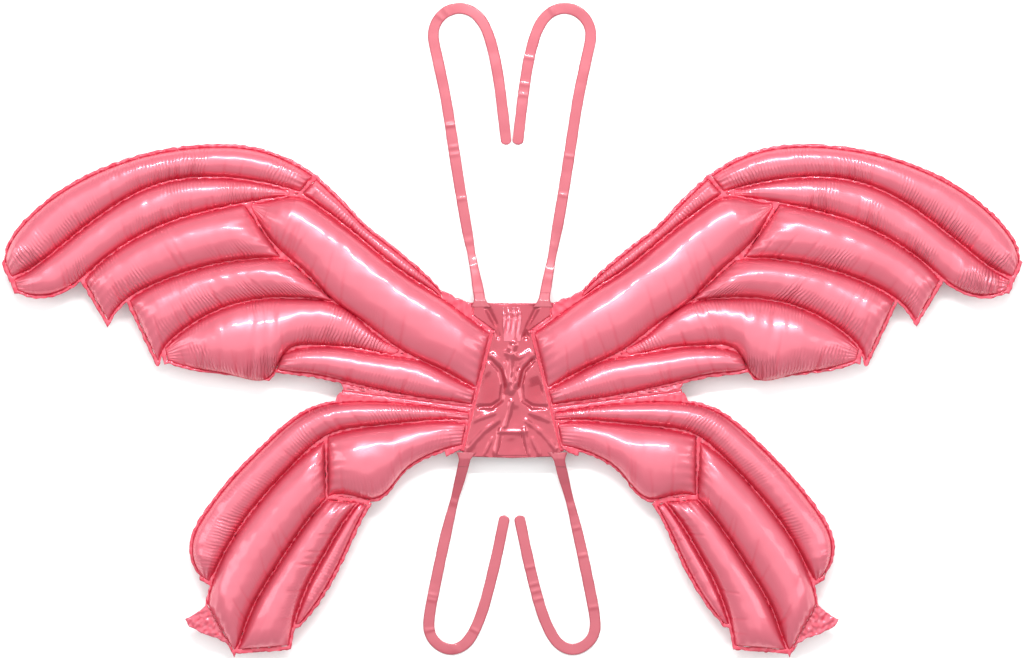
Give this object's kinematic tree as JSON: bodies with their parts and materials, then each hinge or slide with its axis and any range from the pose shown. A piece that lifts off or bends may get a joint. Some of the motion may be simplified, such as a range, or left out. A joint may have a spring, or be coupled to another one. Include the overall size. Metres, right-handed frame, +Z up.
{
  "type": "inflatable fairy wings",
  "caption": "Inflatable foil butterfly wings in tubular air chambers, with a flat centre panel, a fill tail and hooked film ties for the shoulders and waist.",
  "frame": {"origin": "under the middle of the wings' box, on the surface that they lie on", "axes": "+X across the span to the right wings, +Y from the lower wings to the upper wings, +Z up, away from the wearer's back"},
  "size_m": [1.021, 0.6568, 0.0398],
  "materials": {
    "foil": "glossy pink metallised film, blown tight",
    "seal_film": "glossy pink film, heat sealed and crinkled",
    "panel_film": "loose, creased pink metallised film",
    "tie_film": "flat die-cut pink film",
    "tail_film": "clear valve film over pink film"
  },
  "bodies": {
    "root": {"panel_back_film": "panel_film", "valve_film": "tail_film", "panel_front_film": "panel_film", "bottom_seal_patch": "panel_film", "left_upper_tie": "tie_film", "left_lower_tie": "tie_film", "right_upper_tie": "tie_film", "right_lower_tie": "tie_film"},
    "left_wing": {"left_leading_edge_chamber": "foil", "left_wrist_chamber": "foil", "left_second_chamber": "foil", "left_third_chamber": "foil", "left_fourth_chamber": "foil", "left_fifth_chamber": "foil", "left_sixth_chamber": "foil", "left_spar_chamber": "foil", "left_upper_weld_film": "seal_film", "left_web_film": "seal_film"},
    "left_lower_wing": {"left_rim_chamber": "foil", "left_body_chamber": "foil", "left_broad_chamber": "foil", "left_long_chamber": "foil", "left_narrow_chamber": "foil", "left_lower_weld_film": "seal_film", "left_tail_flap": "seal_film"},
    "right_wing": {"right_leading_edge_chamber": "foil", "right_wrist_chamber": "foil", "right_second_chamber": "foil", "right_third_chamber": "foil", "right_fourth_chamber": "foil", "right_fifth_chamber": "foil", "right_sixth_chamber": "foil", "right_spar_chamber": "foil", "right_upper_weld_film": "seal_film", "right_web_film": "seal_film"},
    "right_lower_wing": {"right_rim_chamber": "foil", "right_body_chamber": "foil", "right_broad_chamber": "foil", "right_long_chamber": "foil", "right_narrow_chamber": "foil", "right_lower_weld_film": "seal_film", "right_tail_flap": "seal_film"},
    "fill_tail": {"inflation_tail": "tail_film"}
  },
  "joints": [
    {"name": "left_wing_fold", "type": "hinge", "parent": "root", "child": "left_wing", "pos_m": [-0.0345, 0.006, 0.02], "axis": [0.2425, 0.9701, 0], "range_deg": [-30, 80]},
    {"name": "left_lower_wing_fold", "type": "hinge", "parent": "left_wing", "child": "left_lower_wing", "pos_m": [-0.106, -0.001, 0.02], "axis": [-0.9918, 0.1277, 0], "range_deg": [-15, 25]},
    {"name": "right_wing_fold", "type": "hinge", "parent": "root", "child": "right_wing", "pos_m": [0.0345, 0.006, 0.02], "axis": [0.2425, -0.9701, 0], "range_deg": [-30, 80]},
    {"name": "right_lower_wing_fold", "type": "hinge", "parent": "right_wing", "child": "right_lower_wing", "pos_m": [0.106, -0.001, 0.02], "axis": [-0.9918, -0.1277, 0], "range_deg": [-15, 25]},
    {"name": "fill_tail_lift", "type": "hinge", "parent": "root", "child": "fill_tail", "pos_m": [0, 0.057, 0.02075], "axis": [1, 0, 0], "range_deg": [0, 90]}
  ]
}
